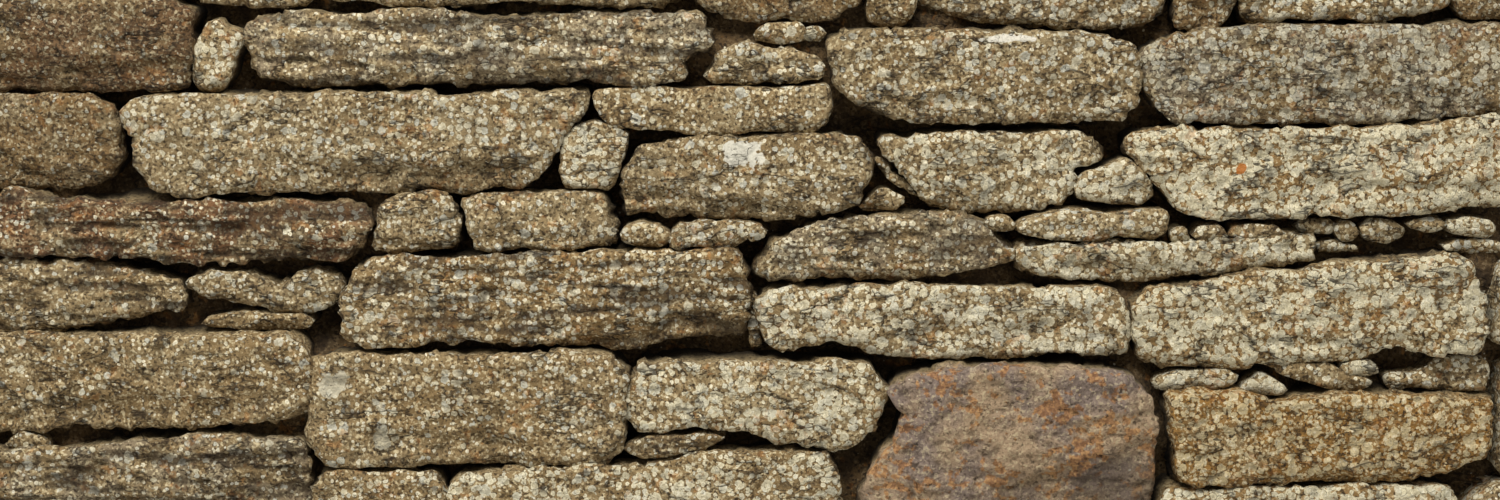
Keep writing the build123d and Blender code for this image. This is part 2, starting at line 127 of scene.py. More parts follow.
# The finish of each stone that shows on one face, from the left
course_finishes = {
    "a": ["brown", "plain", "plain", "brown", "plain", "dusky", "brown", "plain", "brown", "plain"],
    "b": ["plain", "dark_red", "bedded_grey", "plain", "dusky", "blue_grey"],
    "c": ["brown", "dusky", "dusky", "pale", "pale_yellow", "plain"],
    "d": ["plain", "bedded_red", "plain", "plain", "dusky", "bedded_grey", "pale", "plain"],
    "e": ["bedded", "dusky", "bedded_ochre", "pale", "pale_yellow", "plain"],
    "f": ["plain", "plain", "plain", "pale", "ochre"],
    "g": ["bedded_grey", "plain", "pale", "purple", "pale_yellow", "plain"],
    "h": ["plain", "brown", "plain", "dusky", "plain", "plain"],
    "i": ["plain", "bedded", "brown", "plain", "dusky", "plain"],
    "j": ["brown", "plain", "bedded", "plain", "brown", "plain", "plain", "plain"],
}
# Lines (x, z, slope, depth, reach) below which a stone's front has split off deeper,
# for a node and the number of the stone in it
stone_breaks = {
    ("front_course_g", 3): [(0.340, 0.540, 0.36, 0.007, 0.09)],
    ("front_course_f", 2): [
        (-0.290, 0.583, 0.05, 0.004, 0.045), (-0.255, 0.545, -0.75, 0.003, 0.030),
        (-0.135, 0.555, 0.55, 0.008, 0.022)],
    ("front_course_c", 1): [(-0.330, 0.838, 0.05, 0.005, 0.10)],
    ("front_course_c", 2): [(-0.010, 0.800, -0.12, 0.008, 0.16)],
}


def take_apart(node_name):
    """The stones of a CAD node from left to right, each as merged corners and triangles."""
    whole = bmesh.new()
    whole.from_mesh(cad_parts[node_name].data)
    bmesh.ops.remove_doubles(whole, verts=whole.verts, dist=merge_distance)
    whole.verts.index_update()
    unvisited = set(whole.verts)
    stones = []
    while unvisited:
        reached = {unvisited.pop()}
        edge_of_search = list(reached)
        while edge_of_search:
            corner = edge_of_search.pop()
            for edge in corner.link_edges:
                other = edge.other_vert(corner)
                if other not in reached:
                    reached.add(other)
                    edge_of_search.append(other)
        unvisited -= reached
        corners = sorted(reached, key=lambda corner: corner.index)
        places = {corner: place for place, corner in enumerate(corners)}
        triangles = {face for corner in corners for face in corner.link_faces}
        stones.append((
            np.array([corner.co[:] for corner in corners]),
            sorted([places[corner] for corner in face.verts] for face in triangles),
        ))
    whole.free()
    return sorted(stones, key=lambda stone: tuple(stone[0].min(0)))


def outline_at(corners, triangles, depth):
    """The stone's outline in one plane across the wall, as a loop of (x, z)."""
    on_plane = np.abs(corners[:, 1] - depth) < same_place
    flat_sides = {}
    for triangle in triangles:
        for start, end in zip(triangle, triangle[1:] + triangle[:1]):
            if on_plane[start] and on_plane[end]:
                edge = (min(start, end), max(start, end))
                flat_sides[edge] = flat_sides.get(edge, 0) + int(on_plane[triangle].all())
    neighbours = {}
    for (start, end), sides in flat_sides.items():
        if sides < 2:
            neighbours.setdefault(start, []).append(end)
            neighbours.setdefault(end, []).append(start)
    loop = [min(neighbours)]
    while True:
        following = [n for n in neighbours[loop[-1]] if n not in loop]
        if not following:
            return corners[loop][:, [0, 2]]
        loop.append(following[0])


def even_outline(loop, spacing):
    """The same outline with even spacing and its corners slightly rounded."""
    closed = np.vstack([loop, loop[:1]])
    runs = np.hypot(*np.diff(closed, axis=0).T)
    travelled = np.concatenate([[0], np.cumsum(runs)])
    count = max(int(travelled[-1] / spacing), 12)
    stops = np.arange(count) * travelled[-1] / count
    even = np.stack([np.interp(stops, travelled, closed[:, axis]) for axis in (0, 1)], axis=1)
    return 0.8 * even + 0.1 * (np.roll(even, 1, axis=0) + np.roll(even, -1, axis=0))


def outward_of(loop):
    """Directions away from the outline, one for each of its points."""
    along = np.roll(loop, -1, axis=0) - np.roll(loop, 1, axis=0)
    outward = np.stack([along[:, 1], -along[:, 0]], axis=1)
    outward /= np.hypot(*outward.T)[:, None]
    turned = (loop * outward).sum() - loop.mean(0) @ outward.sum(0)
    return outward if turned > 0 else -outward


def ripple(points, size, seed):
    """Smooth unevenness from -1 to 1 with waves of a real size, one value a point."""
    return np.array([
        noise.noise(Vector((x / size + 13.7 * seed, z / size, 7.3 * seed)))
        for x, z in points
    ])


def distance_inside(points, loop):
    """How far each point lies in from the outline; points outside give a negative."""
    steps = np.roll(loop, -1, axis=0) - loop
    offsets = points[:, None] - loop
    share = np.clip((offsets * steps).sum(2) / (steps ** 2).sum(1), 0, 1)
    distance = np.hypot(*(offsets - share[..., None] * steps).transpose(2, 0, 1)).min(1)
    ahead = loop + steps
    above = (loop[:, 1] > points[:, 1:2]) != (ahead[:, 1] > points[:, 1:2])
    rise = np.where(steps[:, 1] == 0, 1, steps[:, 1])
    crossing = loop[:, 0] + (points[:, 1:2] - loop[:, 1]) / rise * steps[:, 0]
    inside = (above & (points[:, :1] < crossing)).sum(1) % 2 == 1
    return np.where(inside, distance, -distance)


def rugged_nose(loop, face, side, spacing, seed, breaks=(), corners_broken=3, tilt=1.0):
    """A split face and the rough beds behind it, closed off inside the tail.

    Below each line of breaks, given as (x, z, slope, depth, reach), the face is set back.
    """
    chance = np.random.default_rng(seed)
    ring = even_outline(loop, spacing)
    rough = min(wave_height, 0.05 * np.ptp(ring, axis=0).min())
    uneven = ripple(ring, broad_wave, seed) + 0.5 * ripple(ring, fine_wave, seed + 3)
    outward = outward_of(ring)
    fullness = np.where(outward[:, 1] > 0.3, head_fullness, foot_fullness)
    ring += outward * (fullness + rough * uneven)[:, None]
    low, high = ring.min(0), ring.max(0)
    steps_x = np.arange(low[0], high[0], spacing)
    steps_z = np.arange(low[1], high[1], spacing * 0.866)
    grid = np.array([
        (x + (row % 2) * spacing / 2, z)
        for row, z in enumerate(steps_z) for x in steps_x
    ])
    grid += chance.uniform(-0.18, 0.18, grid.shape) * spacing
    inner = grid[distance_inside(grid, ring) > spacing * 0.6]
    flat = np.vstack([ring, inner])
    count = len(ring)
    made = delaunay_2d_cdt([Vector(p) for p in flat], [], [list(range(count))], 1, 1e-7)
    sources = [
        origin[0] if origin else int(np.argmin(np.hypot(*(flat - place).T)))
        for origin, place in zip(made[3], np.array(made[0]))
    ]
    triangles = [[sources[v] for v in triangle] for triangle in made[2]]

    # The face: worn round at its arris, tilted a little, with broken corners and ledges
    size = high - low
    middle = (high + low) / 2
    inset = np.concatenate([np.zeros(count), distance_inside(inner, ring)])
    worn = arris_wear + arris_wear_range * ripple(flat, 0.045, seed + 5)
    worn = np.minimum(worn, 0.06 * size.min())
    share = 1 - np.clip(inset / (worn * 1.1), 0, 1)
    behind = worn * (1 - np.sqrt(1 - share ** 2))
    behind += (flat - middle) @ (tilt * chance.uniform(-1, 1, 2) * face_tilt)
    for _ in range(corners_broken):
        turn = chance.uniform(0, 2 * math.pi)
        direction = np.array([math.cos(turn), math.sin(turn)])
        reach = (flat - middle) @ direction
        broken = chance.uniform(*corner_share) * size[1]
        behind += chance.uniform(*corner_slope) * np.clip(reach - reach.max() + broken, 0, None)
    ledges = [] if corners_broken == 0 else [
        (middle[0] + chance.uniform(-0.4, 0.4) * size[0],
         low[1] + chance.uniform(0.08, 0.42) * size[1],
         chance.uniform(-0.12, 0.12), chance.uniform(*ledge_drop),
         chance.uniform(0.15, 0.5) * size[0])
        for _ in range(2)
    ]
    for number, (break_x, break_z, slope, depth, reach) in enumerate([*ledges, *breaks]):
        line = break_z + slope * (flat[:, 0] - break_x)
        line += 0.007 * ripple(flat, 0.025, seed + 31 + number)
        below = np.clip((line - flat[:, 1]) / spacing + 0.5, 0, 1)
        along = np.clip((reach - np.abs(flat[:, 0] - break_x)) / 0.015 + 0.5, 0, 1)
        behind += depth * below * along
    behind -= np.quantile(behind, 0.2)

    points = [np.stack([flat[:, 0], side * (face - behind), flat[:, 1]], axis=1)]
    rings = [list(range(count))]
    start = behind[:count]
    tail = face - tail_face + tail_overlap
    step = spacing * 0.9
    travelled = 0
    while True:
        travelled += step
        step *= ring_growth
        depth = start + travelled
        last = travelled > 0.8 * (tail - start.max())
        if last:
            depth = np.full(count, tail)
        pinch = outward_of(ring) * (ripple(ring, broad_wave, seed + len(rings))[:, None] * 0.003)
        drawn = ring + pinch * min(len(rings) / 3, 1)
        rings.append(list(range(sum(map(len, points)), sum(map(len, points)) + count)))
        points.append(np.stack([drawn[:, 0], side * (face - depth), drawn[:, 1]], axis=1))
        if last:
            break
    faces = list(triangles)
    for outer, deeper in zip(rings, rings[1:]):
        for place in range(count):
            following = (place + 1) % count
            faces.append([outer[place], outer[following], deeper[following], deeper[place]])
    faces.append(rings[-1][::-1])
    return np.vstack(points), faces


def plain_tail(corners, side):
    """The hidden tail: the part of the CAD stone behind its nose."""
    kept = corners[:, 1] * side <= tail_face + same_place
    bed = corners[kept]
    hull = bmesh.new()
    for corner in bed:
        hull.verts.new(corner)
    bmesh.ops.convex_hull(hull, input=hull.verts)
    loose = [v for v in hull.verts if not v.link_faces]
    bmesh.ops.delete(hull, geom=loose, context="VERTS")
    hull.verts.index_update()
    points = np.array([v.co[:] for v in hull.verts])
    faces = [[v.index for v in face.verts] for face in hull.faces]
    hull.free()
    return points, faces


def new_piece(name, parts):
    """One mesh object from several closed shells, with each stone's finish on its points."""
    points, faces, values = [], [], {key: [] for key in (*finish_names, "relief", "tint", "depth")}
    for shell_points, shell_faces, shell_values in parts:
        start = sum(map(len, points))
        points.append(shell_points)
        faces += [[start + v for v in face] for face in shell_faces]
        for key, listed in values.items():
            given = shell_values.get(key, 0)
            listed.append(np.broadcast_to(given, len(shell_points)))
    mesh = bpy.data.meshes.new(name)
    mesh.from_pydata(np.vstack(points).tolist(), [], faces)
    for key, listed in values.items():
        layer = mesh.attributes.new(key, "FLOAT", "POINT")
        layer.data.foreach_set("value", np.concatenate(listed).astype(np.float32))
    shell = bmesh.new()
    shell.from_mesh(mesh)
    bmesh.ops.recalc_face_normals(shell, faces=shell.faces)
    shell.to_mesh(mesh)
    shell.free()
    piece = bpy.data.objects.new(name, mesh)
    bpy.context.scene.collection.objects.link(piece)
    return piece


def linear(colour):
    """Linear RGBA from an sRGB hex colour."""
    shares = [int(colour[place:place + 2], 16) / 255 for place in (1, 3, 5)]
    return [
        share / 12.92 if share <= 0.04045 else ((share + 0.055) / 1.055) ** 2.4
        for share in shares
    ] + [1]


def add_node(tree, kind, inputs=None, output=0, **settings):
    """Adds a node with its settings and links, and gives one output, or the node for None."""
    node = tree.nodes.new(kind)
    for setting, value in settings.items():
        setattr(node, setting, value)
    for place, value in (inputs or {}).items():
        if isinstance(value, bpy.types.NodeSocket):
            tree.links.new(value, node.inputs[place])
        else:
            node.inputs[place].default_value = value
    return node if output is None else node.outputs[output]


# Thin beds broken away in ledges: how wide they spread, how flat they lie and how many
ledge_size = 0.07
ledge_stretch = (0.55, 0.45, 1.5)
ledge_shift = 21.0
ledge_count = 7.0

# The relief that weather and splitting leave on stone, laid over a piece's own shape
relief = bpy.data.node_groups.new("weathered_relief", "GeometryNodeTree")
relief.interface.new_socket("Geometry", in_out="OUTPUT", socket_type="NodeSocketGeometry")
relief.interface.new_socket("Geometry", in_out="INPUT", socket_type="NodeSocketGeometry")
relief_inputs = {}
for label, value in (
    ("Swell size", 0.085), ("Swell height", 0.006),
    ("Lump size", 0.030), ("Lump height", 0.0034),
    ("Bed spacing", 0.009), ("Bed height", 0.0040),
    ("Chip size", 0.022), ("Chip height", 0.0026),
    ("Ledge height", 0.0055),
    ("Seed", 0.0),
):
    socket = relief.interface.new_socket(label, in_out="INPUT", socket_type="NodeSocketFloat")
    socket.default_value = value
    relief_inputs[label] = socket.identifier
socket = relief.interface.new_socket(
    "Material", in_out="INPUT", socket_type="NodeSocketMaterial")
relief_inputs["Material"] = socket.identifier
given = add_node(relief, "NodeGroupInput", output=None).outputs
position = add_node(relief, "GeometryNodeInputPosition")
normal = add_node(relief, "GeometryNodeInputNormal")
relief_share = add_node(
    relief, "GeometryNodeInputNamedAttribute", {"Name": "relief"}, data_type="FLOAT")
bedding_share = add_node(
    relief, "GeometryNodeInputNamedAttribute", {"Name": "bedding"}, data_type="FLOAT")
seed_shift = add_node(relief, "ShaderNodeCombineXYZ", {"Y": given["Seed"]})
shifted = add_node(relief, "ShaderNodeVectorMath", {0: position, 1: seed_shift}, operation="ADD")


def waves(size, detail, roughness, stretch=(1, 1, 1)):
    """Unevenness from -1 to 1 whose waves have the real size given, in metres."""
    drawn = add_node(
        relief, "ShaderNodeVectorMath", {0: shifted, 1: stretch}, operation="MULTIPLY")
    scale = add_node(relief, "ShaderNodeMath", {0: 1.0, 1: size}, operation="DIVIDE")
    pattern = add_node(relief, "ShaderNodeTexNoise", {
        "Vector": drawn, "Scale": scale, "Detail": detail, "Roughness": roughness})
    return add_node(
        relief, "ShaderNodeMath", {0: pattern, 1: 2.0, 2: -1.0}, operation="MULTIPLY_ADD")


swell = add_node(relief, "ShaderNodeMath", {
    0: waves(given["Swell size"], 1.0, 0.5), 1: given["Swell height"]}, operation="MULTIPLY")
lumps = add_node(relief, "ShaderNodeMath", {
    0: waves(given["Lump size"], 3.0, 0.6), 1: given["Lump height"]}, operation="MULTIPLY")
chip_sides = add_node(
    relief, "ShaderNodeMath", {0: waves(given["Chip size"], 2.0, 0.5)}, operation="ABSOLUTE")
chip_depth = add_node(
    relief, "ShaderNodeMath", {0: given["Chip height"], 1: -3.0}, operation="MULTIPLY")
chips = add_node(relief, "ShaderNodeMath", {
    0: add_node(relief, "ShaderNodeMath", {0: chip_sides, 1: 1.5}, operation="POWER"),
    1: chip_depth}, operation="MULTIPLY")
bed_steps = add_node(relief, "ShaderNodeMapRange", {
    "Value": waves(given["Bed spacing"], 3.0, 0.6, (0.11, 0.11, 1.0)),
    "From Min": -0.22, "From Max": 0.18, "To Min": -1.0, "To Max": 0.25,
}, interpolation_type="SMOOTHSTEP")
bed_height = add_node(relief, "ShaderNodeMath", {
    0: given["Bed height"],
    1: add_node(relief, "ShaderNodeMath", {0: bedding_share, 1: 1.30, 2: 0.15},
                operation="MULTIPLY_ADD")}, operation="MULTIPLY")
broken_beds = add_node(
    relief, "ShaderNodeMath", {0: bed_steps, 1: bed_height, 2: chips}, operation="MULTIPLY_ADD")
# Ledges follow the same pattern as the painted shadow lines under them in the stone's material
layers = add_node(relief, "ShaderNodeVectorMath", {
    0: position, 1: [axis / ledge_size for axis in ledge_stretch],
    2: (ledge_shift, 0, ledge_shift)}, operation="MULTIPLY_ADD")
layers = add_node(relief, "ShaderNodeTexNoise", {
    "Vector": layers, "Scale": 1.0, "Detail": 4.0, "Roughness": 0.6})
terrace = add_node(relief, "ShaderNodeMath", {0: layers, 1: ledge_count}, operation="MULTIPLY")
terrace = add_node(relief, "ShaderNodeMath", {0: terrace}, operation="FRACT")
rise = add_node(relief, "ShaderNodeMapRange", {"Value": terrace, "From Max": 0.12})
ledges = add_node(relief, "ShaderNodeMath", {0: rise, 1: terrace}, operation="SUBTRACT")
ledges = add_node(
    relief, "ShaderNodeMath", {0: ledges, 1: given["Ledge height"]}, operation="MULTIPLY")
relief_height = add_node(relief, "ShaderNodeMath", {0: swell, 1: lumps}, operation="ADD")
relief_height = add_node(
    relief, "ShaderNodeMath", {0: relief_height, 1: broken_beds}, operation="ADD")
relief_height = add_node(
    relief, "ShaderNodeMath", {0: relief_height, 1: ledges}, operation="ADD")
relief_height = add_node(
    relief, "ShaderNodeMath", {0: relief_height, 1: relief_share}, operation="MULTIPLY")
moved = add_node(
    relief, "ShaderNodeVectorMath", {0: normal, "Scale": relief_height}, operation="SCALE")
within = add_node(relief, "ShaderNodeVectorMath", {0: position, 1: moved}, operation="ADD")
within = add_node(
    relief, "ShaderNodeVectorMath", {0: within, 1: tuple(cad_low)}, operation="MAXIMUM")
within = add_node(
    relief, "ShaderNodeVectorMath", {0: within, 1: tuple(cad_high)}, operation="MINIMUM")
raised = add_node(relief, "GeometryNodeSetPosition", {
    "Geometry": given["Geometry"], "Position": within})
# Hollows are kept for the material, which darkens them with dirt and painted shade, as about -1 for
# one 4 mm deep
hollow = add_node(
    relief, "ShaderNodeMath", {0: lumps, 1: 0.6, 2: broken_beds}, operation="MULTIPLY_ADD")
hollow = add_node(relief, "ShaderNodeMath", {0: hollow, 1: relief_share}, operation="MULTIPLY")
stored = add_node(relief, "GeometryNodeStoreNamedAttribute", {
    "Geometry": raised, "Name": "hollow",
    "Value": add_node(relief, "ShaderNodeMath", {0: hollow, 1: 250.0}, operation="MULTIPLY"),
}, data_type="FLOAT", domain="POINT")
smooth = add_node(relief, "GeometryNodeSetShadeSmooth", {"Geometry": stored})
single = add_node(relief, "GeometryNodeRealizeInstances", {"Geometry": smooth})
painted = add_node(relief, "GeometryNodeSetMaterial", {
    "Geometry": single, "Material": given["Material"]})
add_node(relief, "NodeGroupOutput", {"Geometry": painted}, output=None)


def weathered(piece, material, **sizes):
    """Lays the relief over a piece and keeps the result as its plain mesh."""
    modifier = piece.modifiers.new("relief", "NODES")
    modifier.node_group = relief
    modifier[relief_inputs["Material"]] = material
    for label, value in sizes.items():
        modifier[relief_inputs[label.replace("_", " ").capitalize()]] = value
    bpy.context.view_layer.update()
    evaluated = piece.evaluated_get(bpy.context.evaluated_depsgraph_get())
    plain = bpy.data.meshes.new_from_object(evaluated)
    piece.modifiers.clear()
    flat = piece.data
    piece.data = plain
    plain.name = piece.name
    bpy.data.meshes.remove(flat)
    return piece


def end_stone(corners, triangles, voxel):
    """A stone that shows at the wall's end, rounded all over by the weather."""
    block = bpy.data.meshes.new("end_block")
    drawn = corners.copy()
    at_end = np.abs(drawn[:, 0]) > cad_high.x - same_end
    drawn[at_end, 0] -= np.sign(drawn[at_end, 0]) * wall_end_reach
    block.from_pydata(drawn.tolist(), [], triangles)
    shell = bmesh.new()
    shell.from_mesh(block)
    bmesh.ops.recalc_face_normals(shell, faces=shell.faces)
    shell.to_mesh(block)
    shell.free()
    solid = bpy.data.objects.new("end_block", block)
    bpy.context.scene.collection.objects.link(solid)
    remesh = solid.modifiers.new("even", "REMESH")
    remesh.mode = "VOXEL"
    remesh.voxel_size = voxel
    rounding = solid.modifiers.new("rounded", "SMOOTH")
    rounding.factor = 0.5
    rounding.iterations = 7
    bpy.context.view_layer.update()
    evaluated = solid.evaluated_get(bpy.context.evaluated_depsgraph_get())
    worn = bpy.data.meshes.new_from_object(evaluated)
    points = np.empty(len(worn.vertices) * 3)
    worn.vertices.foreach_get("co", points)
    faces = [list(face.vertices) for face in worn.polygons]
    bpy.data.objects.remove(solid)
    bpy.data.meshes.remove(worn)
    return points.reshape(-1, 3), faces


def stone_values(finish, along, seed):
    """What a stone shows of each finish, paler with lichen towards the wall's right."""
    chance = np.random.default_rng(seed)
    values = dict(finishes[finish])
    spread = float(np.clip((along + half_view) / (2 * half_view), 0, 1))
    usual = lichen_left + lichen_gain * spread + values.get("lichen", 0)
    values["lichen"] = usual + chance.uniform(-lichen_range, lichen_range)
    values["tint"] = chance.uniform()
    return values


def dress_course(node_name, finish_list, spacing, voxel, seed, arris=arris_depth):
    """Shells for all the stones of a CAD node, on whichever faces they show."""
    parts = []
    for number, (corners, triangles) in enumerate(take_apart(node_name)):
        stone_seed = seed + 17 * number
        finish = finish_list[number % len(finish_list)]
        values = stone_values(finish, corners[:, 0].mean(), stone_seed)
        if np.abs(corners[:, 0]).max() > cad_high.x - same_end:
            points, faces = end_stone(corners, triangles, voxel)
            parts.append((points, faces, {**values, "relief": 0.85}))
            continue
        for side in (-1, 1):
            depth = (corners[:, 1] * side).max()
            if depth < tail_face + arris_depth:
                continue
            loop = outline_at(corners, triangles, side * (depth - arris))
            breaks = stone_breaks.get((node_name, number), [])
            points, faces = rugged_nose(loop, depth, side, spacing, stone_seed, breaks)
            outside = points[:, 1] * side - tail_face
            share = np.clip((outside - relief_start) / relief_ramp, 0, 1)
            parts.append((points, faces, {
                **values, "relief": share, "depth": depth - points[:, 1] * side}))
        side = -1 if corners[:, 1].mean() < 0 else 1
        if (corners[:, 1] * side).min() < tail_face - 0.01:
            points, faces = plain_tail(corners, side)
            parts.append((points, faces, {**values, "relief": 0, "depth": tail_depth}))
    return parts


def stone_material(name, dark, mid, light, cover, patches=()):
    """Rough sandstone of three tones, with lichen over the share of it given as cover."""
    material = bpy.data.materials.new(name)
    material.use_nodes = True
    tree = material.node_tree
    tree.nodes.clear()
    place = add_node(tree, "ShaderNodeTexCoord", output="Object")
    share = {
        key: add_node(tree, "ShaderNodeAttribute", output="Fac", attribute_name=key)
        for key in (*finish_names, "hollow", "tint", "depth")
    }

    def clouds(size, detail=2.0, stretch=(1, 1, 1), shift=0.0, roughness=0.5):
        """Unevenness from 0 to 1 whose clouds have a real size in metres."""
        drawn = add_node(tree, "ShaderNodeMapping", {
            "Vector": place, "Scale": [axis / size for axis in stretch],
            "Location": (shift, 0, shift)})
        return add_node(tree, "ShaderNodeTexNoise", {
            "Vector": drawn, "Scale": 1.0, "Detail": detail, "Roughness": roughness})

    def laid(colour, tone, pattern, start, end, strength=1.0, share_of=None):
        """A tone laid over a colour where a pattern goes from its start to its end."""
        where = add_node(tree, "ShaderNodeMapRange", {
            "Value": pattern, "From Min": start, "From Max": end, "To Max": strength,
        }, interpolation_type="SMOOTHSTEP")
        if share_of is not None:
            where = add_node(tree, "ShaderNodeMath", {0: where, 1: share_of}, operation="MULTIPLY")
        tone = linear(tone) if isinstance(tone, str) else tone
        return add_node(tree, "ShaderNodeMix", {0: where, 6: colour, 7: tone}, output=2,
                        data_type="RGBA")

    # Sand grains of 0.5 mm, drawn 2.6 mm coarse so that they show, each with its own tone
    sand = add_node(tree, "ShaderNodeTexVoronoi", {"Vector": place, "Scale": 1 / sand_size},
                    output=None)
    sand_tone = add_node(tree, "ShaderNodeSeparateColor", {0: sand.outputs["Color"]})
    grain = clouds(sand_cloud, 3.0, shift=6.0, roughness=0.7)
    grain = add_node(tree, "ShaderNodeMath", {
        0: sand_tone, 1: 0.5, 2: add_node(
            tree, "ShaderNodeMath", {0: grain, 1: 0.25}, operation="SUBTRACT"),
    }, operation="MULTIPLY_ADD")

    # The stone's own colour, in blotches of 40 to 60 mm
    grey = add_node(tree, "ShaderNodeMath", {
        0: share["tint"], 1: 0.2, 2: add_node(
            tree, "ShaderNodeMath", {0: clouds(0.055, 3.0), 1: 0.8}, operation="MULTIPLY"),
    }, operation="MULTIPLY_ADD")
    colour = laid(linear(mid[0]), mid[1], grey, 0.35, 0.62)
    warm = add_node(tree, "ShaderNodeMath", {0: share["warm"], 1: 0.14}, operation="ADD")
    colour = laid(colour, "#83602f", clouds(0.045, shift=2.0), 0.3, 0.6, 1.0, warm)
    colour = laid(colour, "#70472b", clouds(0.04, shift=3.0), 0.3, 0.6, 1.0, share["red"])
    colour = laid(colour, "#7d8380", clouds(0.03, shift=4.0), 0.42, 0.58, 1.0, share["blue"])
    plum = laid(linear("#7a6a60"), "#9c8468", clouds(0.05, 4.0, shift=9.0), 0.38, 0.62)
    colour = laid(colour, plum, share["rust"], 0.0, 1.0, 0.95)
    even = add_node(tree, "ShaderNodeMath", {0: share["rust"], 1: -0.45, 2: 1.0},
                    operation="MULTIPLY_ADD")
    colour = laid(colour, dark, grain, 0.46, 0.20, 0.9, even)
    colour = laid(colour, light, grain, 0.56, 0.80, 0.85, even)
    streaks = add_node(tree, "ShaderNodeMath", {0: share["bedding"], 1: 0.60, 2: 0.04},
                       operation="MULTIPLY_ADD")
    colour = laid(colour, "#2f2416", clouds(0.0065, 3.0, (0.09, 0.09, 1.0), 1.0), 0.48, 0.36,
                  1.0, streaks)

    # Lichen: round crusts of 4 to 14 mm, with a darker middle, that meet in brown lines
    # where they are thick. They grow on the weathered face and not deep in the joints.
    # Each layer has its size, a shift, how its share rises with thickness and from where,
    # its tone, and its lift. One layer lifts the surface, which is enough to show.
    exposed = add_node(tree, "ShaderNodeMapRange", {
        "Value": share["depth"], "From Min": 0.022, "From Max": 0.004, "To Max": cover},
        interpolation_type="SMOOTHSTEP")
    spread = add_node(
        tree, "ShaderNodeMath", {0: share["lichen"], 1: exposed}, operation="MULTIPLY")
    thick = add_node(tree, "ShaderNodeMath", {
        0: clouds(0.035, 3.0, shift=12.0), 1: 0.9, 2: spread}, operation="MULTIPLY_ADD")
    edge = clouds(0.0030, 2.0, shift=8.0)
    height = grain
    for size, shift, gain, offset, tone, lift in (
        (0.0130, 0.31, 1.7, -1.43, "#b8ae92", 0.0),
        (0.0088, 0.47, 1.4, -0.97, "#cbc0a0", 1.0),
        (0.0055, 0.73, 0.7, -0.26, "#dad0b2", 0.0),
    ):
        drawn = add_node(tree, "ShaderNodeMapping", {
            "Vector": place, "Location": (shift, shift, 0)})
        cells = add_node(tree, "ShaderNodeTexVoronoi", {"Vector": drawn, "Scale": 1 / size},
                         output=None)
        chosen = add_node(tree, "ShaderNodeSeparateColor", {0: cells.outputs["Color"]},
                          output=None).outputs
        # Each crust has its own reach, wider where they are thick, with a nibbled edge
        reach = add_node(tree, "ShaderNodeMath", {0: chosen[1], 1: 0.25, 2: 0.04},
                         operation="MULTIPLY_ADD")
        reach = add_node(tree, "ShaderNodeMath", {0: spread, 1: 0.42, 2: reach},
                         operation="MULTIPLY_ADD")
        reach = add_node(tree, "ShaderNodeMath", {0: edge, 1: 0.45, 2: reach},
                         operation="MULTIPLY_ADD")
        reach = add_node(tree, "ShaderNodeMath", {
            0: reach, 1: add_node(tree, "ShaderNodeMath", {
                0: cells.outputs["Distance"], 1: 0.22}, operation="ADD")}, operation="SUBTRACT")
        lit = add_node(tree, "ShaderNodeMath", {
            0: add_node(tree, "ShaderNodeMath", {0: thick, 1: gain, 2: offset},
                        operation="MULTIPLY_ADD"), 1: chosen[0]}, operation="SUBTRACT")
        lit = add_node(tree, "ShaderNodeMapRange", {"Value": lit, "From Max": 0.04})
        inside = add_node(tree, "ShaderNodeMapRange", {"Value": reach, "From Max": 0.05})
        inside = add_node(tree, "ShaderNodeMath", {0: inside, 1: lit}, operation="MULTIPLY")
        crust = laid(linear(tone), "#aeb0a6", chosen[2], 0.55, 0.85, 0.6)
        crust = laid(crust, "#cbc09c", share["pale"], 0.0, 1.0, 0.6)
        crust = laid(crust, "#b59a62", share["warm"], 0.4, 1.0, 0.6)
        crust = laid(crust, "#8d8269", reach, 0.10, 0.22, 0.35)
        crust = laid(crust, "#6a5b3e", grain, 0.42, 0.20, 0.35)
        crust = laid(crust, "#e4deca", grain, 0.60, 0.80, 0.3)
        colour = laid(colour, crust, inside, 0.0, 1.0, 0.93)
        if lift:
            height = add_node(tree, "ShaderNodeMath", {0: inside, 1: lift, 2: height},
                              operation="MULTIPLY_ADD")

    # Orange lichen in small scattered spots, and rust in clusters on the iron-rich stone
    cluster = add_node(tree, "ShaderNodeMath", {
        0: share["rust"], 1: 0.13, 2: clouds(0.05, 2.0, shift=13.0)}, operation="MULTIPLY_ADD")
    orange = add_node(tree, "ShaderNodeMath", {
        0: cluster, 1: 0.82, 2: clouds(0.010, 3.0, shift=14.0)}, operation="MULTIPLY_ADD")
    ochre = laid(linear("#7a4c20"), "#a87337", grain, 0.35, 0.65)
    colour = laid(colour, ochre, orange, 1.06, 1.14, 1.0, add_node(
        tree, "ShaderNodeMath", {0: share["rust"], 1: 0.2, 2: 0.42}, operation="MULTIPLY_ADD"))

    # Ledges where thin beds broke away, the same as in the relief, with a painted shadow line under
    # each
    layers = add_node(tree, "ShaderNodeMath", {
        0: clouds(ledge_size, 4.0, ledge_stretch, ledge_shift, 0.6), 1: ledge_count},
        operation="MULTIPLY")
    terrace = add_node(tree, "ShaderNodeMath", {0: layers}, operation="FRACT")
    split = add_node(tree, "ShaderNodeMath", {
        0: share["rust"], 1: -0.5, 2: clouds(0.05, 2.0, shift=23.0)}, operation="MULTIPLY_ADD")
    split = add_node(tree, "ShaderNodeMapRange", {
        "Value": split, "From Min": 0.46, "From Max": 0.56})
    rise = add_node(tree, "ShaderNodeMapRange", {"Value": terrace, "From Max": 0.07},
                    interpolation_type="SMOOTHSTEP")
    painted_ledge_shadow = add_node(tree, "ShaderNodeMath", {0: rise, 1: split}, operation="MULTIPLY")
    # Painted shadow under each ledge, a soft one and a crisp one
    colour = laid(colour, "#2a1f12", terrace, 0.45, 0.10, 0.36, painted_ledge_shadow)
    colour = laid(colour, "#1e150b", terrace, 0.22, 0.06, 0.70, painted_ledge_shadow)
    ledge = add_node(tree, "ShaderNodeMath", {0: rise, 1: terrace}, operation="SUBTRACT")
    ledge = add_node(tree, "ShaderNodeMath", {0: ledge, 1: split}, operation="MULTIPLY")

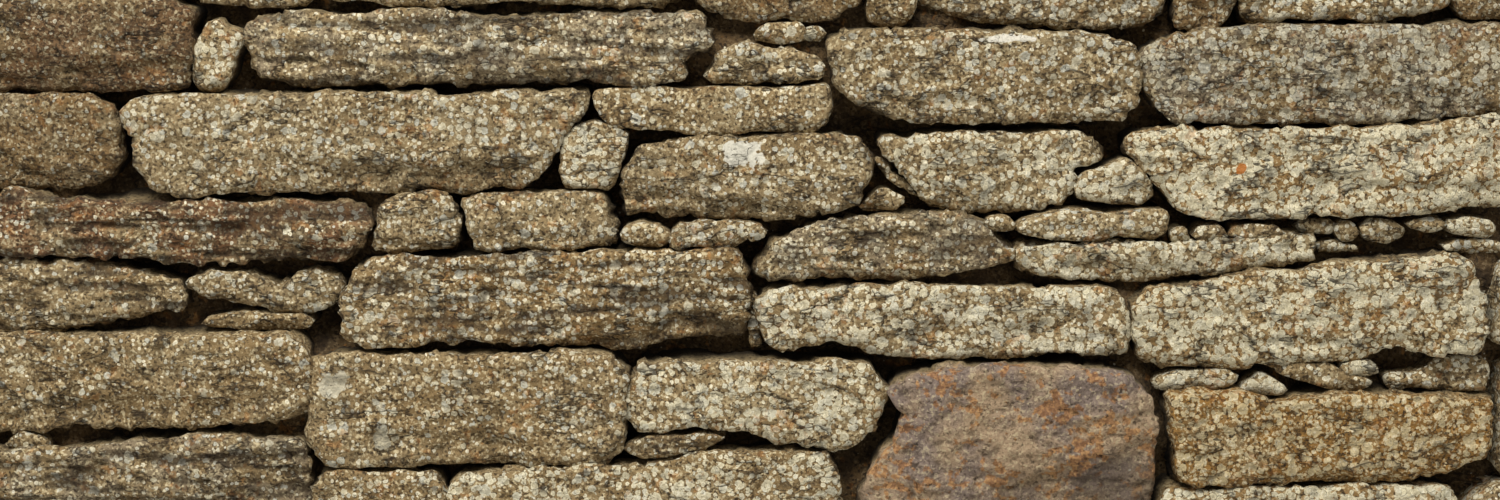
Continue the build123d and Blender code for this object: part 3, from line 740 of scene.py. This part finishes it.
    # Patches with a place of their own on the front
    front = add_node(tree, "ShaderNodeMapRange", {
        "Value": add_node(tree, "ShaderNodeSeparateXYZ", {0: place}, output="Y"),
        "From Min": patch_front, "From Max": patch_front - 0.01})
    ragged = clouds(0.009, 3.0, shift=16.0)
    for patch_x, patch_z, wide, tall, tone, strength in patches:
        centred = add_node(tree, "ShaderNodeMapping", {
            "Vector": place, "Location": (-patch_x / wide, 0, -patch_z / tall),
            "Scale": (1 / wide, 0, 1 / tall)})
        away = add_node(tree, "ShaderNodeVectorMath", {0: centred}, output="Value",
                        operation="LENGTH")
        away = add_node(tree, "ShaderNodeMath", {0: ragged, 1: 1.6, 2: away},
                        operation="MULTIPLY_ADD")
        colour = laid(colour, tone, away, 1.72, 1.62, strength, front)

    # Dirt and painted shade in the pits and hollows, and damp dark places
    pits = clouds(0.0070, 3.0, shift=17.0, roughness=0.6)
    colour = laid(colour, "#2a1f12", pits, 0.40, 0.31, 0.7)
    colour = laid(colour, "#2a1f13", share["hollow"], -0.2, -1.0, 0.7)
    colour = laid(colour, "#1c140a", share["dark"], 0.0, 1.0, 0.45)

    # Earth in the joints, with painted light that makes beds facing up paler, and painted shade
    # that makes it nearly black deep inside
    facing = add_node(tree, "ShaderNodeSeparateXYZ", {
        0: add_node(tree, "ShaderNodeNewGeometry", output="Normal")}, output="Z")
    joint_earth_with_painted_light = laid(linear("#4d3e28"), "#8d7a56", facing, 0.2, 0.8)
    joint_earth_with_painted_light = laid(joint_earth_with_painted_light, "#2c2115", grain, 0.5, 0.3, 0.6)
    colour = laid(colour, joint_earth_with_painted_light, share["depth"], 0.008, 0.028, 0.9)
    # Painted shade: nearly black deep in the joints
    colour = laid(colour, "#171008", share["depth"], 0.014, 0.045, 0.88)

    # Height in units of the bump's own distance: grains and crusts, pits, lumps and ledges
    height = add_node(tree, "ShaderNodeMath", {0: pits, 1: 1.4, 2: height},
                      operation="MULTIPLY_ADD")
    height = add_node(tree, "ShaderNodeMath", {
        0: clouds(0.012, 2.0, shift=15.0), 1: 1.2, 2: height}, operation="MULTIPLY_ADD")
    height = add_node(tree, "ShaderNodeMath", {0: ledge, 1: 1.6, 2: height},
                      operation="MULTIPLY_ADD")
    bump = add_node(tree, "ShaderNodeBump", {
        "Strength": 1.0, "Distance": bump_height, "Height": height})
    shader = add_node(tree, "ShaderNodeBsdfPrincipled", {
        "Base Color": colour, "Roughness": 0.93, "IOR": 1.5, "Specular IOR Level": 0.25,
        "Normal": bump})
    add_node(tree, "ShaderNodeOutputMaterial", {"Surface": shader}, output=None)
    return material


# Weathered sandstone, split by hand and left out for decades: a rough grey-brown
# surface with dark hollows, under round crusts of pale lichen. Patches with a place of
# their own are given as (x, z, half width, half height, tone, strength).
walling_sandstone = stone_material(
    "weathered_split_sandstone", "#332718", ("#7c6745", "#8b7856"), "#c2b28c", 1.0, [
        # Chalky old lichen
        (-0.008, 0.848, 0.024, 0.014, "#cfc9b6", 0.92),
        (0.262, 0.964, 0.034, 0.004, "#d6cfbd", 0.90),
        (-0.423, 0.614, 0.017, 0.015, "#b9b29b", 0.70),
        (-0.375, 0.560, 0.009, 0.014, "#b3ac94", 0.65),
        # Orange lichen
        (0.495, 0.833, 0.006, 0.006, "#a4601f", 0.92),
        # Painted shade in the hollow of the tall stone
        (0.375, 0.515, 0.055, 0.030, "#4d4238", 0.55),
    ])

# The front's points stand half as far apart as the back's: the photograph shows it close
for letter, finish_list in course_finishes.items():
    for side_name, spacing, seed in (("front", 0.0042, 100), ("back", 0.0085, 500)):
        node_name = side_name + "_course_" + letter
        piece = new_piece(side_name + "_stones_" + letter, dress_course(
            node_name, finish_list, spacing, end_voxel, seed + ord(letter)))
        weathered(piece, walling_sandstone, seed=seed / 100)
        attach(piece, "root")
        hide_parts(node_name)


# Hearting
# Earth and chips of stone packed in behind the face stones. It shows only in the joints,
# as brown crumbly ground 20 to 70 mm behind the face.

hearting_reach = 0.93
hearting_gap = 0.004
hearting_ramp = 0.04
hearting_cover = 0.045
face_at_foot = 0.280
batter = 0.086
footing_level = 0.150
cover_level = 1.080
packed_hearting = stone_material(
    "packed_earth_and_chips", "#241b10", ("#453622", "#53432c"), "#6f5d42", 0.0)
for side_name, side, spacing, seed in (("front", -1, 0.009, 41), ("back", 1, 0.012, 42)):
    bed = np.array([
        (-hearting_reach, footing_level + hearting_gap),
        (hearting_reach, footing_level + hearting_gap),
        (hearting_reach, cover_level - hearting_gap),
        (-hearting_reach, cover_level - hearting_gap)])
    points, faces = rugged_nose(
        bed, face_at_foot - hearting_cover, side, spacing, seed, corners_broken=0, tilt=0)
    share = np.clip((points[:, 1] * side - tail_face) / hearting_ramp, 0, 1)
    points[:, 1] -= side * share * (points[:, 2] - footing_level) * batter
    piece = new_piece(side_name + "_hearting", [(points, faces, {"relief": share, "depth": 0.0})])
    weathered(piece, packed_hearting, seed=seed, swell_size=0.11, swell_height=0.055,
              lump_size=0.03, lump_height=0.014, chip_height=0.004)
    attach(piece, "root")


# Through stones and end ties
# Long stones of the same rock that lie right across the wall and hold its two faces
# together; their ends show on both faces, and at the ends of the wall.

tie_spacing = 0.0065
tie_seed = 900
piece = new_piece("tie_stones", dress_course(
    "through_stones", ["plain", "bedded", "brown", "dusky"], tie_spacing, end_voxel, tie_seed))
weathered(piece, walling_sandstone, seed=9.0)
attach(piece, "root")
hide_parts("through_stones")


# Levelling stones and pins
# Thin flags that level up a bed, and small split wedges driven into the joints
# from the face so that nothing rocks.

thin_voxel = 0.006
for side_name, spacing, seed in (("front", 0.004, 1100), ("back", 0.007, 1300)):
    for kind, arris in (("levellers", arris_depth), ("pins", 0)):
        node_name = side_name + "_" + kind
        piece = new_piece(side_name + "_thin_" + kind, dress_course(
            node_name, ["plain", "pale", "plain", "bedded"], spacing, thin_voxel, seed, arris))
        weathered(piece, walling_sandstone, seed=seed / 100, swell_height=0.001,
                  lump_height=0.0014, chip_height=0.0008, bed_height=0.003, ledge_height=0.002)
        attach(piece, "root")
        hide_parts(node_name)


# Slabs on top and footings
# Broad flags across the wall: a cover course that ties the faces, heavier cope slabs
# over it, and rough bare footings half sunk in a trench.

def dress_slabs(node_name, voxel, seed, finish):
    """Shells for a row of slabs, with worn arrises and a rough surface."""
    parts = []
    for number, (corners, triangles) in enumerate(take_apart(node_name)):
        points, faces = end_stone(corners, triangles, voxel)
        values = stone_values(finish, corners[:, 0].mean(), seed + number)
        parts.append((points, faces, {**values, "relief": 0.8}))
    return parts


slab_seed = 1500
footing_sandstone = stone_material(
    "rough_split_footing_sandstone", "#352b1b", ("#655740", "#71664f"), "#8c8067", 0.45)
for node_name, piece_name, voxel, material, slot_name in (
    ("cover_slabs", "cover_flags", 0.010, walling_sandstone, "cope_stone"),
    ("cope_slabs", "cope_flags", 0.009, walling_sandstone, "cope_stone"),
    ("footings", "footing_stones", 0.013, footing_sandstone, "footing_stone"),
):
    piece = new_piece(piece_name, dress_slabs(node_name, voxel, slab_seed, "plain"))
    weathered(piece, material, seed=15.0)
    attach(piece, "root")
    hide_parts(node_name)


# Core
# Small rubble packed between the two faces; it hardly shows, deep in the joints.

rubble = stone_material(
    "packed_sandstone_rubble", "#2a2014", ("#453825", "#54462f"), "#6d5c40", 0.0)
core_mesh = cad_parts["core"].data
core_mesh.materials.clear()
core_mesh.materials.append(rubble)


# Floor, light and camera

reach = 12
floor_mesh = bpy.data.meshes.new("floor")
floor_mesh.from_pydata(
    [(-reach, -reach, 0), (reach, -reach, 0), (reach, reach, 0), (-reach, reach, 0)],
    [], [(0, 1, 2, 3)])
floor = bpy.data.objects.new("floor", floor_mesh)
bpy.context.scene.collection.objects.link(floor)
floor_paint = bpy.data.materials.new("pale_matt_floor")
floor_paint.use_nodes = True
floor_shader = floor_paint.node_tree.nodes["Principled BSDF"]
floor_shader.inputs["Base Color"].default_value = linear("#d9d7d2")
floor_shader.inputs["Roughness"].default_value = 0.9
floor_mesh.materials.append(floor_paint)

world = bpy.data.worlds.new("studio")
bpy.context.scene.world = world
world.use_nodes = True
world.node_tree.nodes.clear()
rays = add_node(world.node_tree, "ShaderNodeLightPath", output=None).outputs
mirrored = add_node(world.node_tree, "ShaderNodeMath", {
    0: rays["Is Glossy Ray"], 1: rays["Is Transmission Ray"]}, operation="MAXIMUM")
seen = add_node(world.node_tree, "ShaderNodeMath", {
    0: rays["Is Camera Ray"], 1: mirrored}, operation="MAXIMUM")
sky = add_node(world.node_tree, "ShaderNodeBackground", {
    "Color": linear("#e9ebee"), "Strength": 0.42})
backdrop = add_node(world.node_tree, "ShaderNodeBackground", {
    "Color": linear("#eceae6"), "Strength": 1.0})
mixed = add_node(world.node_tree, "ShaderNodeMixShader", {0: seen, 1: sky, 2: backdrop})
add_node(world.node_tree, "ShaderNodeOutputWorld", {"Surface": mixed}, output=None)

# One broad soft light in front and above, as on an overcast day
lamp = bpy.data.lights.new("soft_light", "AREA")
lamp.shape = "RECTANGLE"
lamp.size = 3.0
lamp.size_y = 1.6
lamp.energy = 234
softbox = bpy.data.objects.new("soft_light", lamp)
softbox.location = (-0.7, -2.3, 3.9)
towards_wall = Vector((0, 0, 0.7)) - softbox.location
softbox.rotation_euler = towards_wall.to_track_quat("-Z", "Y").to_euler()
bpy.context.scene.collection.objects.link(softbox)

view_distance = 2.3
view_drop = math.radians(8.5)
seen_width = 1.5
sensor = 36
aim = Vector((0, -0.262, 0.755))
camera_data = bpy.data.cameras.new("camera")
camera_data.sensor_width = sensor
camera_data.lens = sensor * view_distance / seen_width
camera = bpy.data.objects.new("camera", camera_data)
camera.location = aim + Vector((0, -math.cos(view_drop), math.sin(view_drop))) * view_distance
camera.rotation_euler = Euler((math.pi / 2 - view_drop, 0, 0))
bpy.context.scene.collection.objects.link(camera)
bpy.context.scene.camera = camera
bpy.context.scene.view_settings.view_transform = "Standard"
